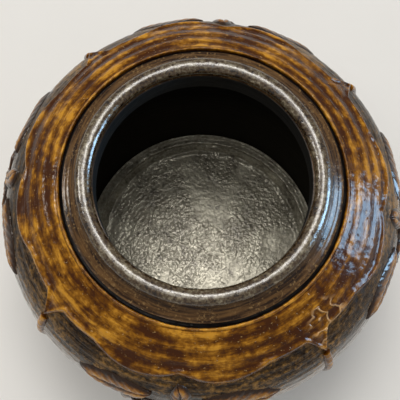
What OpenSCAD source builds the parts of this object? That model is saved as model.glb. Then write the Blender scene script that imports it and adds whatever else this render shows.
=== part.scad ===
// Glazed stoneware storage jar: thrown wall sections, neck, rolled lip and applied relief.
// Z is the jar's axis, z = 0 is the plane it stands on, and one relief panel faces -Y.

/* [Body] */
// Diameter of the bare wall at its widest
belly_d = 243; // [225:1:270]
// Height of the widest level
belly_z = 130; // [115:1:145]
// Rise of the shoulder curve above the widest level
shoulder_rise = 80; // [70:1:90]
// Fullness of the shoulder curve: 2 is an ellipse, more is squarer
shoulder_power = 2.2; // [2:0.05:2.6]
// Diameter of the foot
foot_d = 172; // [150:1:190]
// Thickness of the thrown wall
wall_t = 7.5; // [6:0.5:9]
// Thickness of the floor slab
base_t = 12; // [8:0.5:16]

/* [Foot] */
// Height of the foot ring under the floor slab
foot_h = 6; // [4:0.5:10]
// Width of the foot ring
foot_w = 13; // [9:0.5:18]
// Bevel on the foot ring's standing edges
foot_bevel = 1.5; // [0.5:0.1:2.5]
// Radius of the coil pressed into the inner corner
coil_r = 7; // [4:0.5:10]

/* [Seams] */
// Height of the seam between the lower and belly sections
lower_seam_z = 74; // [64:1:90]
// Height of the seam between the belly and shoulder sections
upper_seam_z = 150; // [140:1:158]
// Height of the tongue that rises inside each seam
tongue_h = 6; // [3:0.5:9]
// Film of slip between a tongue and its rebate
slip_film = 0.3; // [0.2:0.05:0.6]

/* [Neck and lip] */
// Diameter of the throat
throat_d = 119; // [108:1:124]
// Diameter of the hole in the shoulder that the neck's spigot enters
shoulder_hole_d = 136; // [132:1:140]
// Depth of the spigot below the neck's seat
spigot_h = 6; // [4:0.5:8]
// Diameter of the neck at its foot
neck_foot_d = 153.6; // [148:0.2:158]
// Diameter of the neck under the lip
neck_top_d = 137.2; // [134:0.2:142]
// Height of the neck from its seat to the lip's seat
neck_h = 8.5; // [7:0.5:16]
// Upright edge at the neck's foot
neck_edge_h = 2.9; // [1.5:0.1:4]
// Hollow of the neck's flared outside
neck_bow = 0.7; // [0:0.1:1.2]
// Width of the groove round the neck's foot
groove_w = 2.3; // [1.5:0.1:3.5]
// Width of the rolled lip
lip_w = 10.4; // [9:0.2:12]
// Height of the rolled lip before its underside is pressed flat
lip_h = 8; // [6:0.2:11]
// How much of the roll's underside is pressed flat
lip_sink = 1; // [0.5:0.1:2]
// Distance that the lip stands back from the throat
lip_set_back = 0.4; // [0.2:0.1:1]

/* [Collar] */
// Thickness of the applied shoulder layer
relief_t = 2.2; // [1.4:0.1:3.2]
// Extra height of the bead along the collar's foliate edge
rim_rise = 0.7; // [0.3:0.1:1.2]
// Width of that bead
rim_w = 2; // [1.2:0.1:3]
// Width of the bead round the neck's groove
neck_bead_w = 2; // [1.4:0.1:3]
// Extra height of the bead round the neck's groove
neck_bead_rise = 0.8; // [0.3:0.1:1.4]
// Plan radius of the pointed apex over each panel
apex_r = 103; // [98:0.5:106]
// How far the two scallops beside an apex bulge outward
scallop_h = 4.8; // [2:0.2:7]
// Width of one scallop as an angle
scallop_angle = 28; // [22:1:32]
// How far each corner point runs out past the apex
tip_h = 10.5; // [6:0.5:14]
// Angle from a corner point to where its sides start to spread
tip_angle = 4.5; // [3:0.5:8]
// How drawn out a corner point is: 1 has straight sides, more is finer
tip_power = 1.4; // [1:0.1:2]

/* [Panels] */
// Height of the lower band's top edge, which closes the panels
band_z = 62; // [56:1:68]
// Width of the lower band
band_w = 6; // [4:0.5:10]
// Width of the ridge between neighbouring panels
post_w = 5; // [3:0.5:8]
// Height of the blossom's centre
blossom_z = 127; // [121:1:133]
// Length of a blossom petal
petal_l = 25; // [20:0.5:27]
// Width of a blossom petal
petal_w = 14; // [10:0.5:16]
// Number of petals on a blossom
petal_n = 8; // [6:1:9]
// Diameter of the blossom's raised centre
seed_d = 15; // [10:0.5:18]
// Thickness of the blossom above the ground
blossom_t = 2.8; // [1.6:0.1:4]
// Thickness of the blossom's raised centre above the ground
seed_t = 3.6; // [2:0.1:5]
// Thickness of the leaves and stem above the ground
leaf_t = 2.2; // [1.4:0.1:3.4]
// Length of a leaf
leaf_l = 44; // [34:1:48]
// Width of a leaf
leaf_w = 20; // [12:0.5:22]
// Radius of the curved stem round the blossom
wreath_r = 32; // [30:0.5:36]
// Width of the stems
stem_w = 4; // [2.5:0.5:6]
// Length of the straight stem below the curved one
stem_l = 27; // [20:1:30]
// Height of the upper leaves above the blossom's centre
high_leaf_rise = 29; // [26:1:33]
// Distance of the upper leaves from the panel's middle
high_leaf_x = 36; // [32:1:40]
// Lean of the upper leaves from upright
high_leaf_turn = 97; // [80:1:110]
// Depth of the lower leaves below the blossom's centre
low_leaf_drop = 39; // [36:1:42]
// Distance of the lower leaves from the panel's middle
low_leaf_x = 21.5; // [19:0.5:23]
// Lean of the lower leaves from upright
low_leaf_turn = 66; // [50:1:80]
// Height of the bud above the blossom's centre
bud_rise = 34; // [32:1:38]
// Length of the bud
bud_l = 20; // [14:1:24]
// Width of the bud
bud_w = 12; // [9:0.5:15]
// Gap between the leaves and the blossom or the collar beside them
sprig_gap = 0.4; // [0.2:0.1:1]

/* [Hidden] */
belly_r = belly_d / 2;
foot_r = foot_d / 2;
throat_r = throat_d / 2;
hole_r = shoulder_hole_d / 2;
neck_foot_r = neck_foot_d / 2;
neck_top_r = neck_top_d / 2;
floor_z = foot_h + base_t;
groove_r = neck_foot_r + groove_w;
collar_in_r = groove_r + neck_bead_w;
// petals start this far from the blossom's centre, under the seed head
petal_root = seed_d / 5;
// the curved stem ends inside the upper leaves
wreath_end_rise = high_leaf_rise - leaf_w / 4;
// the curve stops at this share of the belly's radius, well inside the hole in the shoulder
curve_end = 0.5;
curve_steps = 22;
neck_seat_z = curve_z(neck_foot_r + groove_w / 2);
lip_seat_z = neck_seat_z + neck_h;
lip_r = throat_r + lip_set_back + lip_w / 2;
lip_z = lip_seat_z + lip_h / 2 - lip_sink;
top_angle = acos(pow(curve_end, shoulder_power / 2));
// a reach that clears the jar in every direction
outside = belly_d;
// facets of the thrown rings, of middling circles and of small ones
smooth = 128;
smooth_mid = 96;
smooth_small = 48;
// half of a panel's quarter turn, and the step of the collar's outline
half_panel = 45;
foliate_step = 2.25;
neck_steps = 8;
lip_step = 10;
panel_names = ["front", "right", "back", "left"];
amber = [0.55, 0.33, 0.10];
dark_ground = [0.16, 0.14, 0.09];
neck_brown = [0.20, 0.13, 0.11];
lip_grey = [0.45, 0.42, 0.34];
floor_grey = [0.36, 0.34, 0.31];
bare_clay = [0.50, 0.36, 0.25];

// Height of the outer wall at radius r, on the shoulder
function curve_z(r) =
    belly_z + shoulder_rise * pow(1 - pow(r / belly_r, shoulder_power), 1 / shoulder_power);

// Radius of the outer wall at height z, below the belly: a parabola that starts upright
function lower_r(z) =
    belly_r - (belly_r - foot_r) * pow((belly_z - z) / (belly_z - foot_h), 2);

// Radius of the outer wall at height z, above the belly
function upper_r(z) =
    belly_r * pow(1 - pow((z - belly_z) / shoulder_rise, shoulder_power), 1 / shoulder_power);

function outer_r(z) = z < belly_z ? lower_r(z) : upper_r(z);

// Point of the lower wall curve, moved out along its normal by off
function lower_point(z, off) =
    let (slope = 2 * (belly_r - foot_r) * (belly_z - z) / pow(belly_z - foot_h, 2),
         n = [1, -slope] / norm([1, -slope]))
    [lower_r(z), z] + off * n;

// Point of the shoulder curve at angle a from the belly, moved out along its normal by off
function upper_point(a, off) =
    let (r = belly_r * pow(cos(a), 2 / shoulder_power),
         dz = shoulder_rise * pow(sin(a), 2 / shoulder_power),
         g = [pow(r / belly_r, shoulder_power - 1) / belly_r,
              pow(dz / shoulder_rise, shoulder_power - 1) / shoulder_rise])
    [r, belly_z + dz] + off * g / norm(g);

// The whole outer curve from the floor slab's underside to the neck, at one offset
function curve(off) = concat(
    [for (i = [curve_steps : -1 : 1]) lower_point(belly_z - (belly_z - foot_h) * i / curve_steps, off)],
    [for (i = [0 : curve_steps]) upper_point(top_angle * i / curve_steps, off)]
);

function reversed(list) = [for (i = [len(list) - 1 : -1 : 0]) list[i]];

// Radius where a seam's tongue and rebate meet
function seam_r(z) = outer_r(z) - wall_t / 2;

// Plan radius of the collar's edge at an angle from the centre of its panel
function foliate_r(angle, inset) =
    let (a = abs(angle), tip_a = half_panel - tip_angle)
    apex_r - inset
    + (a < scallop_angle ? scallop_h * sin(180 * a / scallop_angle) : 0)
    + (a > tip_a ? tip_h * pow((a - tip_a) / tip_angle, tip_power) : 0);

// The collar's plan outline, all round
function foliate(inset) = [
    for (q = [0 : 3], a = [-half_panel : foliate_step : half_panel - foliate_step])
        let (r = foliate_r(a, inset)) [r * cos(a + 90 * q), r * sin(a + 90 * q)]
];

// Layer between two offsets of the outer curve
module layer_2d(low, high) {
    polygon(concat(curve(low), reversed(curve(high))));
}

module layer(low, high) {
    rotate_extrude($fn = smooth) layer_2d(low, high);
}

// Part of the thrown wall between two stepped seams
module wall_section(z_low, z_high) {
    r_low = seam_r(z_low) + slip_film / 2;
    r_high = seam_r(z_high) - slip_film / 2;
    rotate_extrude($fn = smooth) intersection() {
        layer_2d(-wall_t, 0);
        polygon([
            [0, z_low + tongue_h], [r_low, z_low + tongue_h], [r_low, z_low], [outside, z_low],
            [outside, z_high], [r_high, z_high], [r_high, z_high + tongue_h], [0, z_high + tongue_h]
        ]);
    }
}

module foot_ring() {
    color(bare_clay) rotate_extrude($fn = smooth) polygon([
        [foot_r - foot_w, foot_bevel], [foot_r - foot_w + foot_bevel, 0],
        [foot_r - foot_bevel, 0], [foot_r, foot_bevel],
        [foot_r, foot_h], [foot_r - foot_w, foot_h]
    ]);
}

// The slab's rim is cut to the jar's outer curve
module base_disc() {
    color(floor_grey) rotate_extrude($fn = smooth) polygon([
        [0, foot_h], [foot_r, foot_h], [lower_r(foot_h + base_t / 2), foot_h + base_t / 2],
        [lower_r(floor_z), floor_z], [0, floor_z]
    ]);
}

module corner_coil() {
    corner_r = outer_r(floor_z) - wall_t;
    color(floor_grey) rotate_extrude($fn = smooth) difference() {
        intersection() {
            translate([corner_r, floor_z]) circle(r = coil_r, $fn = smooth_small);
            translate([0, floor_z]) square([outside, 2 * coil_r]);
        }
        polygon(concat(curve(-wall_t), [[outside, lip_z], [outside, 0]]));
    }
}

module lower_wall() {
    r_top = seam_r(lower_seam_z) - slip_film / 2;
    color(dark_ground) rotate_extrude($fn = smooth) intersection() {
        layer_2d(-wall_t, 0);
        polygon([
            [0, floor_z], [outside, floor_z], [outside, lower_seam_z],
            [r_top, lower_seam_z], [r_top, lower_seam_z + tongue_h], [0, lower_seam_z + tongue_h]
        ]);
    }
}

module belly_wall() {
    color(dark_ground) wall_section(lower_seam_z, upper_seam_z);
}

module shoulder_wall() {
    r_low = seam_r(upper_seam_z) + slip_film / 2;
    color(dark_ground) rotate_extrude($fn = smooth) intersection() {
        layer_2d(-wall_t, 0);
        polygon([
            [hole_r, upper_seam_z + tongue_h], [r_low, upper_seam_z + tongue_h],
            [r_low, upper_seam_z], [outside, upper_seam_z],
            [outside, neck_seat_z], [hole_r, neck_seat_z]
        ]);
    }
}

// The flared outside is a line from foot to lip that sags by neck_bow in the middle
module neck_ring() {
    edge_z = neck_seat_z + neck_edge_h;
    color(neck_brown) rotate_extrude($fn = smooth) polygon(concat(
        [[throat_r, neck_seat_z - spigot_h], [hole_r - slip_film, neck_seat_z - spigot_h],
         [hole_r - slip_film, neck_seat_z], [neck_foot_r, neck_seat_z]],
        [for (t = [0 : 1 / neck_steps : 1]) [
            neck_foot_r + (neck_top_r - neck_foot_r) * t - neck_bow * sin(180 * t) / 2,
            edge_z + (lip_seat_z - edge_z) * t - neck_bow * sin(180 * t)
        ]],
        [[throat_r, lip_seat_z]]
    ));
}

// An ellipse with its underside pressed flat on the neck
module rolled_lip() {
    color(lip_grey) rotate_extrude($fn = smooth) intersection() {
        polygon([
            for (a = [0 : lip_step : 360 - lip_step])
                [lip_r + lip_w / 2 * cos(a), lip_z + lip_h / 2 * sin(a)]
        ]);
        translate([0, lip_seat_z]) square([outside, lip_h]);
    }
}

module neck_bead() {
    color(amber) rotate_extrude($fn = smooth) intersection() {
        layer_2d(0, relief_t + neck_bead_rise);
        translate([groove_r, belly_z]) square([neck_bead_w, outside]);
    }
}

// Shoulder layer cut to the foliate outline, with a bead along its edge
module cloud_collar() {
    color(amber) difference() {
        intersection() {
            union() {
                layer(0, relief_t);
                difference() {
                    layer(0, relief_t + rim_rise);
                    linear_extrude(outside) polygon(foliate(rim_w));
                }
            }
            translate([0, 0, belly_z]) linear_extrude(outside) polygon(foliate(0));
        }
        cylinder(h = outside, r = collar_in_r, $fn = smooth);
    }
}

module lower_band() {
    color(amber) rotate_extrude($fn = smooth) intersection() {
        layer_2d(0, relief_t + rim_rise);
        translate([0, band_z - band_w]) square([outside, band_w]);
    }
}

// Ridge between two panels, from the lower band up to the collar's corner point
module post(angle) {
    color(amber) difference() {
        intersection() {
            layer(0, relief_t);
            rotate([0, 0, angle]) translate([0, -post_w / 2, band_z]) cube([outside, post_w, outside]);
        }
        translate([0, 0, belly_z]) linear_extrude(outside) polygon(foliate(0));
    }
}

// Pointed oval: the overlap of two circles whose arcs meet at both ends
module pointed_oval(length, width) {
    radius = (length * length + width * width) / (4 * width);
    intersection() {
        translate([radius - width / 2, 0]) circle(r = radius, $fn = smooth_mid);
        translate([width / 2 - radius, 0]) circle(r = radius, $fn = smooth_mid);
    }
}

// One petal, grown by extra on every side, whose root lies under the seed head
module petal_2d(i, extra) {
    translate([0, blossom_z]) rotate(360 * i / petal_n)
        translate([0, petal_root + petal_l / 2]) pointed_oval(petal_l + 2 * extra, petal_w + 2 * extra);
}

module seed_2d(extra) {
    translate([0, blossom_z]) circle(d = seed_d + 2 * extra, $fn = smooth_small);
}

// One leaf on each side of the panel's middle
module leaf_pair_2d(x, rise, turn) {
    for (side = [-1, 1])
        translate([side * x, blossom_z + rise]) rotate(-side * turn) pointed_oval(leaf_l, leaf_w);
}

// Two upper leaves, two lower leaves and a bud, on a stem that curves round the blossom
module leaf_spray_2d() {
    leaf_pair_2d(high_leaf_x, high_leaf_rise, high_leaf_turn);
    leaf_pair_2d(low_leaf_x, -low_leaf_drop, low_leaf_turn);
    translate([0, blossom_z + bud_rise]) pointed_oval(bud_l, bud_w);
    translate([-stem_w / 2, blossom_z - wreath_r - stem_l]) square([stem_w, stem_l]);
    translate([0, blossom_z]) difference() {
        circle(r = wreath_r + stem_w / 2, $fn = smooth_mid);
        circle(r = wreath_r - stem_w / 2, $fn = smooth_mid);
        translate([-outside / 2, wreath_end_rise]) square(outside);
    }
}

// Carries a flat drawing onto the wall: the drawing's height is the jar's height
module onto_wall(angle, thickness) {
    rotate([0, 0, angle]) intersection() {
        layer(0, thickness);
        rotate([90, 0, 0]) linear_extrude(outside) children();
    }
}

module blossom(angle) {
    color(amber) onto_wall(angle, blossom_t) difference() {
        for (i = [0 : petal_n - 1]) petal_2d(i, 0);
        seed_2d(0);
    }
}

module seed_head(angle) {
    color(amber) onto_wall(angle, seed_t) seed_2d(0);
}

// The spray clears the blossom and stops short of the collar's edge by the same gap
module leaf_spray(angle) {
    color(amber) difference() {
        onto_wall(angle, leaf_t) difference() {
            leaf_spray_2d();
            for (i = [0 : petal_n - 1]) petal_2d(i, sprig_gap);
            seed_2d(sprig_gap);
        }
        translate([0, 0, belly_z]) linear_extrude(outside) polygon(foliate(-sprig_gap));
    }
}

foot_ring();
base_disc();
corner_coil();
lower_wall();
belly_wall();
shoulder_wall();
neck_ring();
rolled_lip();
neck_bead();
cloud_collar();
lower_band();
post(-45);  // post_front_right
post(45);  // post_back_right
post(135);  // post_back_left
post(-135);  // post_front_left
for (i = [0 : 3]) {
    blossom(90 * i);
    seed_head(90 * i);
    leaf_spray(90 * i);
}
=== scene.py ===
import math

import bpy
import numpy as np
from mathutils import Matrix, Vector


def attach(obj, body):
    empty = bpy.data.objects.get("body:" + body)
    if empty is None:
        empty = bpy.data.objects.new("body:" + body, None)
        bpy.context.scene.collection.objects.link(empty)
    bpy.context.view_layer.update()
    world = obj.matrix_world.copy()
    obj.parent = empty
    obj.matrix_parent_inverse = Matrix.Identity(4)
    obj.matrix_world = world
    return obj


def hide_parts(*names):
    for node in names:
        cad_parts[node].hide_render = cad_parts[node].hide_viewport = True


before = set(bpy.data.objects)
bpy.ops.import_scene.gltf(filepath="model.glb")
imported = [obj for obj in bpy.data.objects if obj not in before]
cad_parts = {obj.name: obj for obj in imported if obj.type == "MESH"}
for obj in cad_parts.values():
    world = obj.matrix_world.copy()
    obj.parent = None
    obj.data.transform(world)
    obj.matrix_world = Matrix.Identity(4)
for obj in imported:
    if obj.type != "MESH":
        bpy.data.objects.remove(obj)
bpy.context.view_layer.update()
print("frame loaded:", len(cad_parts), "nodes")

# All sizes up to the stage are in millimetres; makePiece turns them into metres.
mm = 0.001
fullTurn = 2 * math.pi
join = np.concatenate
sharpAngle = math.radians(50)  # faces that meet at more than this keep a crisp edge

form = dict(
    bellyR=121.5, bellyZ=130.0, rise=80.0, power=2.2, curveEnd=1.19,  # superellipse above the belly
    footR=86.0, footH=6.0, floorZ=18.0, wall=7.5,
    lowerSeam=74.0, upperSeam=150.0, tongue=6.0, film=0.3,
    neckSeatZ=194.53, neckSeatR=77.95, holeR=68.0,
)


# Outer curve of the wall. Below the belly the radius is a parabola of the height that starts
# upright; above it radius and height follow a superellipse. Gives r, z, normal r, normal z.
def wallCurve(steps=1500):
    f = form
    low = np.linspace(f["footH"], f["bellyZ"], steps, endpoint=False)
    k = (f["bellyZ"] - low) / (f["bellyZ"] - f["footH"])
    spread = f["bellyR"] - f["footR"]
    slope = 2 * spread * k / (f["bellyZ"] - f["footH"])
    lower = np.stack([f["bellyR"] - spread * k**2, low, np.ones(steps), -slope])
    turn = np.linspace(0, f["curveEnd"], steps)
    c, s = np.cos(turn) ** (2 / f["power"]), np.sin(turn) ** (2 / f["power"])
    upper = np.stack([
        f["bellyR"] * c, f["bellyZ"] + f["rise"] * s,
        c ** (f["power"] - 1) / f["bellyR"], s ** (f["power"] - 1) / f["rise"],
    ])
    curve = join([lower, upper], axis=1)
    curve[2:] /= np.hypot(curve[2], curve[3])
    return curve


curve = wallCurve()
along = join([[0], np.cumsum(np.hypot(np.diff(curve[0]), np.diff(curve[1])))])


def wallAt(s):  # r, z, normal r and normal z at a length along the curve
    return [np.interp(s, along, row) for row in curve]


def offsetPoints(s, off):  # the curve moved out along its normal, as rows of (r, z)
    r, z, nr, nz = wallAt(s)
    return np.stack([r + off * nr, z + off * nz], axis=1)


def outerR(z):
    return float(np.interp(z, curve[1], curve[0]))


def lengthAtZ(z, off=0.0):  # length along the curve where it, moved out by off, has height z
    return np.interp(z, curve[1] + off * curve[3], along)


def lengthAtR(r, off=0.0):  # the same for a radius on the shoulder, where the radius falls
    start = len(along) // 2
    return np.interp(-r, -(curve[0] + off * curve[2])[start:], along[start:])


# Smooth noise from -1 to 1: whole numbers hashed on a lattice and blended with a smooth step on
# each axis. Each seed reads its own part of the lattice.
def noise(points, size, seed):
    q = points / size + 57.31 * (seed + 1)
    cell = np.floor(q).astype(np.int64)
    f = q - cell
    f = f * f * (3 - 2 * f)
    total = 0
    for corner in range(8):
        step = [corner & 1, corner >> 1 & 1, corner >> 2]
        h = (cell[..., 0] + step[0]) * 374761393 + (cell[..., 1] + step[1]) * 668265263
        h = (h + (cell[..., 2] + step[2]) * 2147483647 + seed * 144269) & 0xFFFFFFFF
        h = ((h ^ (h >> 13)) * 1274126177) & 0xFFFFFFFF
        weight = 1
        for axis in range(3):
            weight = weight * (f[..., axis] if step[axis] else 1 - f[..., axis])
        total = total + weight * (((h ^ (h >> 16)) & 0xFFFF) / 32767.5 - 1)
    return total


def lumps(points, layers):  # noise in layers, each a row of (size, seed, height)
    return sum(noise(points, size, seed) * height for size, seed, height in layers)


def hump(x, width):  # bell curve: e to the power of minus the square of x over width
    return np.exp(-((x / width) ** 2))


# Triangles and squares of a grid of points; a closed side joins its last row to its first,
# and an open end of rows is closed with one vertex in its middle.
def gridFaces(rows, cols, closeRows):
    i = np.arange(rows if closeRows else rows - 1)[:, None]
    j = np.arange(cols)[None, :]
    nextI, nextJ = (i + 1) % rows, (j + 1) % cols
    quads = np.stack(np.broadcast_arrays(
        i * cols + j, i * cols + nextJ, nextI * cols + nextJ, nextI * cols + j), axis=-1)
    faces = quads.reshape(-1, 4).tolist()
    if not closeRows:
        last = (rows - 1) * cols
        faces += [[rows * cols, (k + 1) % cols, k] for k in range(cols)]
        faces += [[rows * cols + 1, last + k, last + (k + 1) % cols] for k in range(cols)]
    return faces


# Volume under the faces, by summing corner triangles: negative where a shell is inside out.
def shellVolume(points, faces):
    tri = np.array([[f[0], f[1], f[2]] for f in faces] + [[f[0], f[2], f[3]] for f in faces if len(f) > 3])
    a, b, c = points[tri[:, 0]], points[tri[:, 1]], points[tri[:, 2]]
    return np.einsum("ij,ij->i", a, np.cross(b, c)).sum()


def newObject(name, data):
    made = bpy.data.objects.new(name, data)
    bpy.context.scene.collection.objects.link(made)
    return made


# One piece from closed shells, each (points as rows x columns x 3, crest 0 to 1, inside or not,
# whether its rows close). crest and inside become attributes that the glazes read.
def makePiece(name, shells, finish):
    nodes = [name]  # each piece stands in for the part of the same name
    points, faces, crests, insides, count = [], [], [], [], 0
    for grid, crest, inside, closeRows in shells:
        rows, cols = grid.shape[:2]
        flat = grid.reshape(-1, 3)
        crest = np.broadcast_to(crest, (rows, cols)).reshape(-1)
        inside = np.broadcast_to(inside, (rows, cols)).reshape(-1)
        if not closeRows:
            flat = join([flat, grid[:1].mean(1), grid[-1:].mean(1)])
            crest = join([crest, crest[:1], crest[-1:]])
            inside = join([inside, inside[:1], inside[-1:]])
        shell = gridFaces(rows, cols, closeRows)
        if shellVolume(flat, shell) < 0:
            shell = [f[::-1] for f in shell]
        faces += [[v + count for v in f] for f in shell] if count else shell
        count += len(flat)
        points.append(flat)
        crests.append(crest)
        insides.append(inside)
    mesh = bpy.data.meshes.new(name)
    mesh.from_pydata((join(points) * mm).tolist(), [], faces)
    for label, values in (("crest", crests), ("inside", insides)):
        layer = mesh.attributes.new(label, "FLOAT", "POINT")
        layer.data.foreach_set("value", join(values).astype(np.float32))
    mesh.polygons.foreach_set("use_smooth", np.ones(len(mesh.polygons), bool))
    mesh.set_sharp_from_angle(angle=sharpAngle)
    mesh.update()
    mesh.materials.append(finish.material)
    piece = newObject(name, mesh)
    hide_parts(*nodes)
    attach(piece, "root")


def turnSteps(count):
    return np.arange(count) * fullTurn / count


# Outward normals of a closed loop of (r, z) points: the turned direction of its neighbours.
def loopNormals(loop):
    step = np.roll(loop, -1, axis=0) - np.roll(loop, 1, axis=0)
    normal = np.stack([step[:, 1], -step[:, 0]], axis=1)
    area = (loop[:, 0] * np.roll(loop[:, 1], -1) - np.roll(loop[:, 0], -1) * loop[:, 1]).sum()
    return normal / np.maximum(np.hypot(*normal.T), 1e-9)[:, None] * np.sign(area)


# A profile carried round the axis: each point is moved out along the profile's normal by rise,
# which may change with the angle, and then turned by that angle.
def revolve(loop, riseOf, turns, normals=None):
    angle = turnSteps(turns)
    normals = loopNormals(loop) if normals is None else normals
    ring = np.stack([np.cos(angle), np.sin(angle)], axis=1)
    flat = loop[:, 0, None, None] * ring[None]
    base = join([flat, np.broadcast_to(loop[:, 1, None, None], flat.shape[:2] + (1,))], axis=2)
    rise = riseOf(base, angle[None, :])
    r = loop[:, 0, None] + rise * normals[:, 0, None]
    z = loop[:, 1, None] + rise * normals[:, 1, None]
    return join([r[..., None] * ring[None], z[..., None]], axis=2), rise


def densify(corners, step):  # points every step along straight lines between corners
    corners = np.asarray(corners, float)
    parts = []
    for a, b in zip(corners, np.roll(corners, -1, axis=0)):
        n = max(1, int(math.ceil(np.hypot(*(b - a)) / step)))
        parts.append(a + (b - a) * (np.arange(n) / n)[:, None])
    return join(parts)


def throwingRings(s, angle, pitch, wobble=0.1):  # ridges left by the fingers, a slow spiral
    drift = wobble * np.sin(2 * angle + 0.7) + 0.6 * wobble * np.sin(5 * angle + 2.1)
    return np.sin(fullTurn * (s / pitch + drift + angle / fullTurn))


def crestOf(rise, span=1.0):  # half where the surface has no rise, 1 where it rises by half the span
    return np.clip(0.5 + rise / span, 0, 1)


def reliefCrest(h, full, drop):  # share of the full height, less a drop
    return np.clip(h / full - drop, 0, 1)


# Materials
def operator(kind, swapped=False):
    def apply(self, other):
        return self.finish.math(kind, *((other, self) if swapped else (self, other)))
    return apply


class Reading:  # a node's output that takes part in arithmetic
    __add__, __radd__ = operator("ADD"), operator("ADD", swapped=True)
    __sub__, __rsub__ = operator("SUBTRACT"), operator("SUBTRACT", swapped=True)
    __mul__, __rmul__ = operator("MULTIPLY"), operator("MULTIPLY", swapped=True)
    __truediv__, __pow__ = operator("DIVIDE"), operator("POWER")

    def __init__(self, finish, socket):
        self.finish, self.socket = finish, socket


class Graph:  # a node tree, with one way to add a node and one to feed a socket
    def __init__(self, tree):
        self.tree = tree
        self.tree.nodes.clear()

    def node(self, kind, sockets=None, **settings):
        made = self.tree.nodes.new(kind)
        for key, value in settings.items():
            setattr(made, key, value)
        for key, value in (sockets or {}).items():
            self.feed(made.inputs[key], value)
        return made

    def feed(self, socket, value):
        value = value.socket if isinstance(value, Reading) else value
        if isinstance(value, bpy.types.NodeSocket):
            self.tree.links.new(value, socket)
        else:
            socket.default_value = value


class Finish(Graph):
    def __init__(self, name, gloss=0.5):
        self.material = bpy.data.materials.new(name)
        self.material.use_nodes = True
        super().__init__(self.material.node_tree)
        self.shader = self.node("ShaderNodeBsdfPrincipled", {"Specular IOR Level": gloss})
        self.output = self.node("ShaderNodeOutputMaterial", {"Surface": self.shader.outputs["BSDF"]})
        self.place = self.node("ShaderNodeTexCoord").outputs["Object"]
        split = self.node("ShaderNodeSeparateXYZ", {0: self.place})
        self.x, self.y, self.z = [Reading(self, split.outputs[i]) for i in range(3)]
        self.crest, self.inside = self.attribute("crest"), self.attribute("inside")

    def attribute(self, name):
        return Reading(self, self.node("ShaderNodeAttribute", attribute_name=name).outputs["Fac"])

    def math(self, operation, a, b=0.0, clamp=False):
        made = self.node("ShaderNodeMath", {0: a, 1: b}, operation=operation, use_clamp=clamp)
        return Reading(self, made.outputs[0])

    def clamp(self, value):
        return self.math("ADD", value, 0.0, clamp=True)

    def between(self, value, low, high):  # smooth step from 0 at low to 1 at high
        made = self.node("ShaderNodeMapRange", {"Value": value, "From Min": low, "From Max": high},
                         interpolation_type="SMOOTHSTEP")
        return Reading(self, made.outputs["Result"])

    def past(self, length, limits):  # the same step from one millimetre value to another
        return self.between(length, limits[0] * mm, limits[1] * mm)

    def radius(self):
        return (self.x * self.x + self.y * self.y) ** 0.5

    def noiseOn(self, place, scale, detail, rough, distortion=0.0):
        made = self.node("ShaderNodeTexNoise", {
            "Vector": place, "Scale": scale, "Detail": detail, "Roughness": rough,
            "Distortion": distortion})
        return Reading(self, made.outputs["Fac"])

    def grain(self, size, detail=2.0, rough=0.5):  # blotches of one size
        return self.noiseOn(self.place, 1 / (size * mm), detail, rough)

    # Blotches drawn out round the jar: noise on a position that runs slowly round it, so that a
    # blotch is length long at a radius of 100 mm, and fast across it, so that it is width wide.
    def streaks(self, length, width, detail=2.0, rough=0.5, distortion=0.0):
        r = self.radius()
        place = self.node("ShaderNodeCombineXYZ", {
            0: self.x / r * (100 / length), 1: self.y / r * (100 / length),
            2: (r - self.z) / (width * mm)})
        return self.noiseOn(place.outputs[0], 1.0, detail, rough, distortion)

    def ramp(self, value, *stops):  # stops are (position, (r, g, b))
        made = self.node("ShaderNodeValToRGB", {"Fac": value})
        while len(made.color_ramp.elements) < len(stops):
            made.color_ramp.elements.new(0.5)
        for element, (position, colour) in zip(made.color_ramp.elements, stops):
            element.position = position
            element.color = (*colour, 1)
        return made.outputs["Color"]

    def mix(self, factor, a, b):
        made = self.node("ShaderNodeMix", data_type="RGBA")
        for key, value in ((0, factor), (6, a), (7, b)):
            self.feed(made.inputs[key], (*value, 1) if isinstance(value, tuple) else value)
        return made.outputs[2]

    def paint(self, colour, roughness, height=None, depth=0.1, metallic=0.0, coat=0.0):
        values = {"Base Color": colour, "Roughness": roughness, "Metallic": metallic, "Coat Weight": coat}
        if height is not None:
            bump = self.node("ShaderNodeBump", {"Strength": 1.0, "Distance": depth * mm, "Height": height})
            values["Normal"] = bump.outputs["Normal"]
        for key, value in values.items():
            self.feed(self.shader.inputs[key], value)
        return self


# What the glazes share. A pair of heights (Z) or radii (R) is where a change begins and ends.
glaze = dict(shadeBlack=(0.0045, 0.004, 0.0035), grooveShadeBlack=(0.005, 0.004, 0.004), grooveZ=(188, 191),
             dryZ=(146, 168), panelZ=(60, 63), liningShadeZ=(48, 78), undersideZ=(6.4, 7.4), wetR=(69, 74),
             wrinkleAt=(78.0, -65.0), wrinkleR=(7, 15))
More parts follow.
